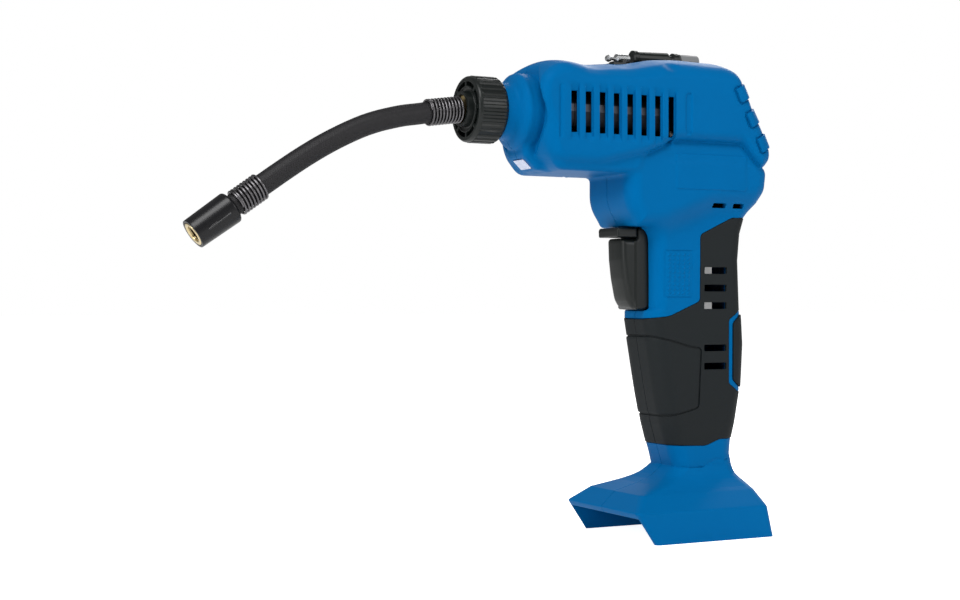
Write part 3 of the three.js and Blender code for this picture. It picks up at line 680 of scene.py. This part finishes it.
GRIP_SLOT_ZS = (144.5, 134.9, 125.3, 102.2, 92.3)
REAR_RIBS = ((62.5, 241), (69.5, 228), (76.5, 214.5))
SCREWS = ((-22, 199.1, 20), (-52, 246, 20), (57, 248, 20), (3, 177.5, 18), (57, 159, 13), (40, 44.5, 13))
DISPLAY = np.array([78.5, 228.5])
DISPLAY_TILT = np.arctan2(17, 35)
LAMP = np.array([-59.6, 199.6])
LAMP_X, LAMP_Z = 0.69, 0.724  # how far the lamp faces forward, and down
BLUE_PLASTIC = "#005b94", "#00619c", 0.48, 0.35, 0.02, 0.1, "#4a90d8"
BLUE = plastic("blue_housing_plastic", *BLUE_PLASTIC)


def column(x, y, z):
    """The foot, neck and grip: a rounded rectangle whose four sides follow curves up the tool."""
    front, rear, half, corner = (np.interp(z, COLUMN[:, 0], COLUMN[:, k]) for k in (1, 2, 3, 4))
    dx = np.abs(x - (front + rear) / 2) - (rear - front) / 2 + corner
    dy = np.abs(y) - half + corner
    wall = np.minimum(np.maximum(dx, dy), 0) + np.hypot(np.maximum(dx, 0), np.maximum(dy, 0)) - corner
    return np.maximum(wall, np.maximum(-z, z - 195))


def nose(x, y, z):
    """The round nose: a neck behind the nut that flares to a flange on the barrel's front."""
    r = np.hypot(y, z - NOSE_Z)
    stations = (-76, -75.2, -70.5, -69, -67.4, -65.8, -64.8, -60)
    radius = np.interp(x, stations, (13.8, 14.6, 14.9, 15.6, 18, 19.6, 20, 20))
    return np.maximum((r - radius) * 0.8, np.maximum(-75.2 - x, x + 55))


def solid_housing(x, y, z):
    """The whole outside of the housing before any opening is cut in it."""
    crown = (2.4 + 1.4 * np.clip((x + 45) / 12, 0, 1)) * (y / 20) ** 2 * np.clip((z - 222) / 25, 0, 1)
    bow = 3 * (y / 20) ** 2 * np.clip((x - 58) / 12, 0, 1)
    bow = bow - 3.2 * (y / 26) ** 4 * np.clip((-45 - x) / 10, 0, 1) * np.clip((232 - z) / 12, 0, 1)
    barrel = prism(x + bow, y, z + crown, BARREL, 28, 5.5)
    for dip in DIP_XS:
        scoop = np.sqrt((x - dip) ** 2 + ((np.abs(y) - 31) * 0.8) ** 2 + ((z - 262) * 0.7) ** 2) - 8.8
        barrel = cut(barrel, scoop, 1.5)
    moat = np.maximum(np.abs(np.hypot(y, z - NOSE_Z) - 22.6) - 2.6, x + 57)
    barrel = cut(barrel, moat, 2)
    lower = join(prism(x, y, z, BELLY, 24.5, 3.5), prism(x, y, z, CHIN, 11, 3.4), 2.5)
    lower = join(lower, prism(x, y, z, BULGE, 24, 8), 3)
    lower = join(lower, column(x, y, z), 9)
    return join(join(barrel, nose(x, y, z), 1), lower, 1.2)


def display_axes(x, z):
    """Distances out of, and up along, the sloping rear face that holds the display."""
    dx, dz = x - DISPLAY[0], z - DISPLAY[1]
    out = dx * np.cos(DISPLAY_TILT) + dz * np.sin(DISPLAY_TILT)
    up = -dx * np.sin(DISPLAY_TILT) + dz * np.cos(DISPLAY_TILT)
    return out, up


def lamp_axes(x, z):
    """Distances out of, and up along, the chamfer under the nose that holds the lamp."""
    dx, dz = x - LAMP[0], z - LAMP[1]
    return -LAMP_X * dx - LAMP_Z * dz, -LAMP_Z * dx + LAMP_X * dz


def relief(field, x, y, z):
    """Everything raised on or sunk into the outside: vent channels, ribs, lines and pads."""
    for centre in VENT_XS:
        fade = np.clip(1 - (np.abs(z - 225.7) - 10.7) / 4.5, 0, 1)
        channel = rectangle(
            x, z, centre - CHANNEL_HALF, centre + CHANNEL_HALF, CHANNEL_BOTTOM, CHANNEL_TOP)
        field = sink(field, channel, CHANNEL_DEPTH * fade)
    for bx, bz in REAR_RIBS:
        across = (x - bx) * 0.9 + (z - bz) * 0.44
        along = -(x - bx) * 0.44 + (z - bz) * 0.9
        block = rectangle(across, along, -4.4, 20, -3.9, 3.9, 0.8)
        field = raise_(field, np.maximum(block, FLANK - np.abs(y)), 1.1)
        field = sink(field, np.maximum(np.abs(block - 0.5) - 0.5, FLANK - np.abs(y)), 0.7)
    field = sink(field, rectangle(x, z, -52.6, -52, 212, 239), 0.6)
    field = sink(field, rectangle(x, z, 25, 28.4, 217, 239, 1.6), 0.7)
    field = raise_(field, np.maximum(rectangle(x, z, *FLANK_PAD, 1), FLANK - np.abs(y)), 0.3)
    neck_line = np.interp(x, (27, 42.6, 50.3, 63), (38, 37.4, 40.7, 41.3))
    field = sink(field, np.abs(z - neck_line) - 0.35, 0.6)
    field = sink(field, rectangle(x, z, *PLATE_RECESS, 0.6), 0.25)
    return field


def half_housing(side):
    """The field of one half: shell, openings and pockets. side is -1 for the left, 1 for the right."""

    def field(x, y, z):
        whole = solid_housing(x, y, z)
        shell = relief(whole, x, y, z)
        rubber = np.maximum(outline(x, z, COVER), -outline(x, z, PALM_FRAME))
        rubber = np.maximum(np.minimum(rubber, outline(x, z, PALM_INSERT)), z - 174)
        shell = sink(shell, rubber - 0.15, RUBBER_RECESS)
        grip = np.clip((z - 45) / 10, 0, 1) * np.clip((172 - z) / 10, 0, 1)
        neck = np.clip((44 - z) / 8, 0, 1)
        shell = np.maximum(shell, -np.maximum(whole + WALL + 1.5 * grip + 3.5 * neck, 18 - z))
        inside = np.abs(y) - 35
        bay = np.maximum(inside, np.maximum(x - 72.5, z - 14))
        shell = cut(shell, bay, 0.3)
        for centre in VENT_XS:
            slot = rectangle(x, z, centre - VENT_HALF, centre + VENT_HALF, VENT_BOTTOM, VENT_TOP, 0.5)
            shell = cut(shell, np.maximum(slot, FLANK - np.abs(y)), 0.3)
        for height in GRIP_SLOT_ZS:
            shell = cut(shell, rectangle(x, z, 43.3, 58.2, height - 2, height + 2, 0.6), 0.2)
        trigger_gap = np.maximum(rectangle(x, z, *TRIGGER_SLOT), np.abs(y) - SLOT_HALF_WIDTH)
        lock_gap = np.maximum(rectangle(x, z, *LOCK_SLOT), np.abs(y) - 13.5)
        shell = cut(shell, np.minimum(trigger_gap, lock_gap), 0.6)
        shell = cut(shell, np.maximum(rectangle(x, z, *TRAY_OPENING, 0.4), np.abs(y) - 11), 0.4)
        shell = cut(shell, np.maximum(np.hypot(y, z - NOSE_Z) - NOSE_BORE, x + 50), 0.4)
        out, up = display_axes(x, z)
        window = np.maximum(rectangle(up, y, *DISPLAY_WINDOW, 0.6), -12 - out)
        shell = cut(shell, window, 0.3)
        lamp_out, lamp_up = lamp_axes(x, z)
        lamp = np.maximum(rectangle(lamp_up, y, *LAMP_POCKET, 0.7), -8 - lamp_out)
        shell = cut(shell, lamp, 0.3)
        for slot_x0, slot_x1 in REAR_SLOTS:
            notch = np.maximum(rectangle(x, z, slot_x0, slot_x1, 178.6, 181.2, 0.5), 13 - np.abs(y))
            shell = cut(shell, notch, 0.3)
        if side > 0:
            for sx, sz, head in SCREWS:
                hole = np.maximum(np.hypot(x - sx, z - sz) - SCREW_HOLE, head - 2.6 - y)
                shell = cut(shell, hole, 0.4)
        return np.maximum(shell, 0.12 - side * y)

    return field


def plate_field(side):
    """A thumb plate let into one flank: five columns of ten raised dots in a plain frame."""

    def field(x, y, z):
        pitch = 15.6 / 5, 23.2 / 10
        across, up = (x - 18.9) / pitch[0] % 1 - 0.5, (z - 130.9) / pitch[1] % 1 - 0.5
        dot = np.clip(1 - (across * pitch[0]) ** 2 / 0.7 - (up * pitch[1]) ** 2 / 0.7, 0, 1)
        dot = dot * (rectangle(x, z, 18.9, 34.5, 130.9, 154.1) < 0)
        skin = np.abs(column(x, y, z) + 0.35 - 0.32 * np.sqrt(dot)) - 0.3
        return np.maximum(np.maximum(skin, rectangle(x, z, 18.2, 35.2, 130.2, 154.8, 0.6)), -side * y)

    return field


def housing_material():
    """The blue plastic with painted shade: darker where a face lies deep behind the outside, inside the shell
    where little light reaches.
    """
    made = plastic("blue_housing_halves", *BLUE_PLASTIC)
    tree = made.node_tree
    principled = tree.nodes["Principled BSDF"]
    outer = principled.inputs["Base Color"].links[0].from_socket
    depth = node(tree, "Attribute", {"attribute_name": "depth"}).outputs["Fac"]
    shade = node(tree, "MapRange", Value=depth, From_Min=1.6, From_Max=2.4).outputs[0]
    tone = node(tree, "Mix", {"data_type": "RGBA"}, Factor=shade, _6=outer, _7=linear("#041b38"))
    tree.links.new(tone.outputs[2], principled.inputs["Base Color"])
    return made


def add_housing():
    """Both halves of the housing."""
    material = housing_material()
    for side, word in ((-1, "left"), (1, "right")):
        near, far = (-38.6, 1.0) if side < 0 else (-1.0, 38.6)
        step = 0.8
        piece = moulded(
            f"{word}_housing_half", half_housing(side), (-77, near, -1.6), (89.5, far, 262.5), step, material,
            keep=0.5)
        points = np.empty(3 * len(piece.data.vertices))
        piece.data.vertices.foreach_get("co", points)
        points = points.reshape(-1, 3) * 1000 - (SHIFT, 0, 0)
        # Painted shade: depth behind the outside, left at nought at the foot so that the bay under it keeps
        # its blue.
        mark(piece, "depth", np.where(points[:, 2] > 40, -solid_housing(*points.T), 0))
        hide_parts(f"housing_{word}")
        near, far = (-18.6, -16.4) if side < 0 else (16.4, 18.6)
        plate = moulded(
            f"{word}_thumb_plate", plate_field(side), (17.6, near, 129.6), (35.8, far, 155.4), 0.3, BLUE)


add_housing()

# ---------------------------------------------------------------- grip covers
# Soft black rubber moulded over the grip, standing a quarter of a millimetre proud of the blue. A
# raised front pad is outlined by a shallow groove, and a separate insert fills the palm frame.

PAD = softened([
    (-14, 111.5), (11.3, 109.1), (34.2, 103), (41.3, 102), (39.6, 70), (23.5, 66), (-14, 64.6),
], 2)
PALM_PROUD = 0.9
RUBBER = plastic("soft_grip_rubber", "#080f12", "#0d1518", 0.6, 0.3, 0.03, 0.25)


def rubber_field(region, proud=0.25):
    """A skin of rubber over the part of the grip inside a region, standing a little proud."""

    def field(x, y, z):
        whole = column(x, y, z)
        pad = outline(x, z, PAD)
        groove = np.abs(pad) - 0.55
        outer = np.maximum(whole - proud - 0.35 * np.clip(-pad / 1.5, 0, 1), -(whole + 1.45))
        outer = np.maximum(outer, np.minimum(-groove, whole + 0.45))
        outer = -join(-outer, -region(x, y, z), 0.5)
        for height in GRIP_SLOT_ZS:
            outer = cut(outer, rectangle(x, z, 43.5, 58, height - 1.8, height + 1.8, 0.6), 0.4)
        return outer

    return field


def cover_region(side):
    """One cover's own area: its outline, less the palm frame and the other side of the tool."""

    def region(x, y, z):
        area = np.maximum(outline(x, z, COVER) + 0.1, 0.1 - outline(x, z, PALM_FRAME))
        trigger = np.maximum(rectangle(x, z, -30, 22, 118, 168), np.abs(y) - SLOT_HALF_WIDTH)
        return np.maximum(np.maximum(area, -trigger), 0.08 - side * y)

    return region


def add_rubber():
    """The two covers and the palm insert."""
    step = 0.6
    for side, word in ((-1, "left"), (1, "right")):
        near, far = (-19.6, 1) if side < 0 else (-1, 19.6)
        piece = moulded(
            f"{word}_grip_rubber", rubber_field(cover_region(side)), (5, near, 46), (77, far, 175.5),
            step, RUBBER)
        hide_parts(f"grip_cover_{word}")
    insert = moulded(
        "palm_insert_rubber", rubber_field(lambda x, y, z: outline(x, z, PALM_INSERT) + 0.1, PALM_PROUD),
        (58, -19.6, 77), (75, 19.6, 124), step, RUBBER)
    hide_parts("palm_insert")


add_rubber()

# ---------------------------------------------------------------- trigger and lock-on bar
# The trigger is one black moulding: a paddle in front and a flange that slides in the housing.
# The lock-on bar slides across above it.

BLACK = plastic("black_moulded_plastic", "#090e0d", "#0e1413", 0.36, 0.3, 0.02, 0.35)
PADDLE_HALF = 8.6


def trigger_field(x, y, z):
    """The paddle and its flange, hollow behind."""
    paddle_front = np.interp(z, (122, 124.6, 128, 140, 150, 162), (4.5, 2.6, 0.4, -2, -3.2, -3.6))
    paddle = softened([
        (-3.6, 161.7), (-3.2, 150), (-2, 140), (0.3, 129), (2.8, 124.8), (6, 123.3), (12, 123.3), (12, 161.7),
    ], 2.5)
    body = prism(x, y, z, paddle, PADDLE_HALF, 3.6)
    crown = paddle_front - x + (y / PADDLE_HALF) ** 2 * 1.1
    body = -join(-body, -crown, 1.2)
    flange = softened([
        (4.6, 123.2), (11.6, 123.2), (14.6, 126.2), (14.6, 167.2), (6.3, 167.2), (6.3, 161.6), (4.6, 160),
    ], 1.6)
    body = join(body, prism(x, y, z, flange, 9.3, 1.2), 0.8)
    return cut(body, np.maximum(rectangle(x, z, 6.5, 40, 126.5, 158.5), np.abs(y) - 6.4), 0.4)


def lock_field(x, y, z):
    """The lock-on bar: a rounded block with a finger edge in front."""
    bar = softened([(-7.2, 162.2), (5.4, 162.2), (5.4, 167.3), (-6.6, 167.3), (-7.4, 166)], 0.8)
    return prism(x, y, z, bar, 10, 1.1)


def add_controls():
    """The trigger and the bar above it."""
    trigger = moulded("trigger_paddle", trigger_field, (-5, -10, 122), (16, 10, 168.6), 0.4, BLACK, "trigger")
    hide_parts("trigger")
    lock = moulded("lock_on_bar", lock_field, (-8.6, -11.2, 161), (6.6, 11.2, 168.5), 0.35, BLACK, "lock")
    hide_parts("trigger_lock")


add_controls()

# ---------------------------------------------------------------- hose nut
# A black plastic nut with thirty knurls clamps the hose tail onto the nose. Its front is webbed:
# eight windows in a ring round a dished disc, and a hub that guides the spring.

KNURLS = 30
WINDOWS = 8
WINDOW_RING = 13.2  # radius at the middle of the windows


def nut_rim():
    """Points and faces of the knurled rim: a closed profile turned round the axis, its middle
    rows raised and lowered thirty times a turn."""
    profile = np.array([
        (-93, 15, 0), (-93, 16.2, 0), (-92.7, 16.6, 0), (-92, 17, 0), (-91, 17.1, 0), (-90.7, 16.7, 0.65),
        (-84, 16.7, 0.65), (-77.8, 16.7, 0.65), (-77, 16.5, 0.3), (-76, 16, 0), (-76, 15, 0),
    ])
    turn = np.linspace(0, 2 * np.pi, KNURLS * 12, endpoint=False)
    wave = np.clip(0.5 + 1.1 * np.cos(KNURLS * turn), 0, 1)
    radii = profile[:, 1:2] + profile[:, 2:] * wave
    grid = np.stack([profile[:, :1] + 0 * turn, radii * np.cos(turn), NOSE_Z + radii * np.sin(turn)], -1)
    grid = np.concatenate([grid, grid[:1]])
    faces = quads(len(grid), len(turn)) % (len(profile) * len(turn))
    return grid[:-1].reshape(-1, 3), faces[:, ::-1].tolist()


def nut_web(x, y, z):
    """The rest of the nut: a drum hollow behind, its front dished and pierced by windows."""
    r = np.hypot(y, z - NOSE_Z)
    turn = np.arctan2(z - NOSE_Z, y)
    drum = np.maximum(r - 15.3, np.maximum(-92.9 - x, x + 78))
    share = (turn / (2 * np.pi) * WINDOWS) % 1
    spoke = 0.8 - 2 * np.pi * WINDOW_RING / WINDOWS * np.minimum(share, 1 - share)
    window = np.maximum(np.abs(r - WINDOW_RING) - 1.15, spoke)
    window = np.maximum(window, x + 89.8)
    drum = cut(drum, window, 0.3)
    dish = np.maximum(r - 11.3, x + 92.3 - (11.3 - r) * 0.3)
    drum = cut(drum, dish, 0.4)
    hub = np.maximum(r - 9.0 - (x + 96) * 0.1, np.maximum(-96 - x, x + 88))
    drum = join(drum, hub, 0.9)
    return cut(drum, np.where(x < -87.8, r - 7.35, r - 13.6), 0.4)


def add_nut():
    """The nut that holds the hose."""
    rim = place("knurled_nut_rim", *nut_rim(), BLACK, "nut")
    rim.data.set_sharp_from_angle(angle=SHARP_ANGLE)
    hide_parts("hose_nut")
    web = moulded("nut_web", nut_web, (-96.8, -16, 211), (-77.2, 16, 243), 0.32, BLACK, "nut")


add_nut()

# ---------------------------------------------------------------- lamp window
# A clear moulding closes the lamp's pocket on the chamfer below the nose.
# Its back is faceted in a grid that spreads the light.


def clear_material():
    """Clear lamp and screen plastic."""
    made, tree, principled = shader("clear_plastic", Roughness=0.12, IOR=1.49)
    principled.inputs["Transmission Weight"].default_value = 0.35
    spot = node(tree, "TexCoord").outputs["Object"]
    haze = node(tree, "TexNoise", Vector=spot, Scale=160.0).outputs["Fac"]
    tone = node(tree, "Mix", {"data_type": "RGBA"}, Factor=haze, _6=linear("#7486ba"), _7=linear("#b4c1e4"))
    tree.links.new(tone.outputs[2], principled.inputs["Base Color"])
    return made


CLEAR = clear_material()


def window_field(out, side, up):
    """The window, its back cut into small pyramids."""
    pyramid = 0.5 * (np.abs((side / 1.6) % 1 - 0.5) + np.abs((up / 1.6) % 1 - 0.5))
    block = rectangle(up, side, -3.3, 3.3, -5.6, 5.6, 0.6)
    return np.maximum(block, np.maximum(out - 0.25, -1.9 + pyramid - out))


def from_lamp(points):
    """From out, side and up at the lamp into the tool's own measure."""
    out, side, up = points.T
    x = LAMP[0] - LAMP_X * out - LAMP_Z * up
    z = LAMP[1] - LAMP_Z * out + LAMP_X * up
    return np.column_stack([x, side, z])


def add_window():
    """The lamp's clear window."""
    window = moulded(
        "lamp_window", window_field, (-2.6, -6.2, -4), (1, 6.2, 4), 0.25, CLEAR, turned=from_lamp)
    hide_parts("led_lens")


add_window()

# ---------------------------------------------------------------- wiring clips
# Two pale nylon clips, taken to hold the wires, sit behind the first and third cooling slots of
# the grip. What lies there, and how it is fixed, is a guess.


def clip_field(height):
    """One clip: a block rounded all round, with a channel for the wires."""

    def field(x, y, z):
        block = rectangle(x, z, 43.6, 51.4, height - 3, height + 3, 0.8)
        block = np.maximum(block, np.abs(y) - 13.3)
        return cut(block, np.maximum(np.hypot(x - 52.5, z - height) - 2.6, np.abs(y) - 10), 0.4)

    return field


def add_clips():
    """The clips, seen through the slots."""
    for word, height in (("upper", GRIP_SLOT_ZS[0]), ("lower", GRIP_SLOT_ZS[2])):
        box = (43.4, -14, height - 3.8), (53, 14, height + 3.8)
        clip = moulded(f"{word}_wiring_clip", clip_field(height), *box, 0.4, WHITE)


WHITE = plastic("white_plastic", "#f4f4f2", "#fdfdfb", 0.5, 0.4, 0.01)
add_clips()

# ---------------------------------------------------------------- pieces kept from the frame
# The rest keep their CAD shape and take the material they are made of, but the motor's steel is painted dark
# as shade inside the housing.

STEEL = metal("bright_steel", "#a9abad", "#cfd1d3", 0.25)
ALUMINIUM = metal("cast_aluminium", "#7b7f83", "#9ca0a4", 0.42)
# Motor steel painted nearly black: painted shade for the inside of the housing seen through the vents.
MOTOR_STEEL_PAINTED_SHADE = metal("zinc_plated_can", "#25272b", "#3a3d44", 0.3, 60.0)
COPPER = metal("wound_copper", "#7d4423", "#b56d3c", 0.4)
BRASS = metal("turned_brass", "#b99a58", "#e0cd94", 0.24)
GREY = plastic("grey_plastic", "#6b6d6e", "#828486", 0.4, 0.4, 0.01)
GREEN = plastic("circuit_board", "#175034", "#236b46", 0.45, 0.8, 0.02)
RED = plastic("red_wire_sleeve", "#9a1f1a", "#b02a22", 0.4, 0.8, 0.01)
FINISHES = {
    "black_plastic": BLACK, "brass": BRASS, "steel": STEEL, "spring_steel": WIRE, "aluminium": ALUMINIUM,
    "white_plastic": WHITE, "grey_plastic": GREY, "board_green": GREEN, "lead_red": RED,
    "clear_plastic": CLEAR, "copper": COPPER, "grip_rubber": RUBBER, "housing_blue": BLUE,
    "hose_braid": BLACK,
}


def dress_frame():
    """Gives every carried-over CAD node the material of its slot in the record, except the motor's nodes,
    which take steel painted dark for the shade inside the housing.
    """
    slots = {part["node"]: part["material_slot"] for part in frame["record"]["subparts"]}
    for name, piece in frame["nodes"].items():
        for slot in piece.material_slots:
            slot.material = MOTOR_STEEL_PAINTED_SHADE if name.startswith("motor") else FINISHES[slots[name]]


dress_frame()
